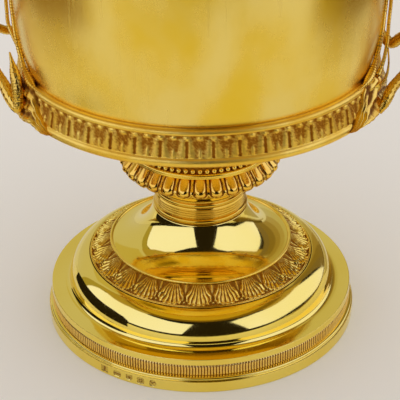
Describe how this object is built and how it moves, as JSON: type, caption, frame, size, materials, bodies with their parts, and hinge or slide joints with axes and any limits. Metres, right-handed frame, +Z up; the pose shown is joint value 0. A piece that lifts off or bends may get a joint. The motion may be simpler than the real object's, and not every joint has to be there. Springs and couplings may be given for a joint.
{
  "type": "covered cup",
  "caption": "Two-handled gilt standing cup with lift-off cover, lobed knop, leaf bands, twisted handles and a stepped round foot.",
  "frame": {"origin": "middle of the foot's underside, on the surface it stands on", "axes": "+Z up along the cup's axis, +X towards the right handle, -Y towards the front"},
  "size_m": [0.2502, 0.18, 0.34],
  "materials": {
    "polished_gilt": "polished silver-gilt",
    "chased_gilt": "chased silver-gilt with dark toning in the hollows",
    "cast_gilt": "cast and burnished silver-gilt"
  },
  "bodies": {
    "root": {"foot": "polished_gilt", "foot_reeded_band": "chased_gilt", "foot_leaf_band": "chased_gilt", "stem_collar": "polished_gilt", "knop": "cast_gilt", "knop_bead_ring": "polished_gilt", "bowl": "polished_gilt", "bowl_leaf_band": "chased_gilt", "handle_right": "cast_gilt", "handle_left": "cast_gilt", "cover": "polished_gilt", "cover_finial": "cast_gilt"}
  },
  "joints": []
}
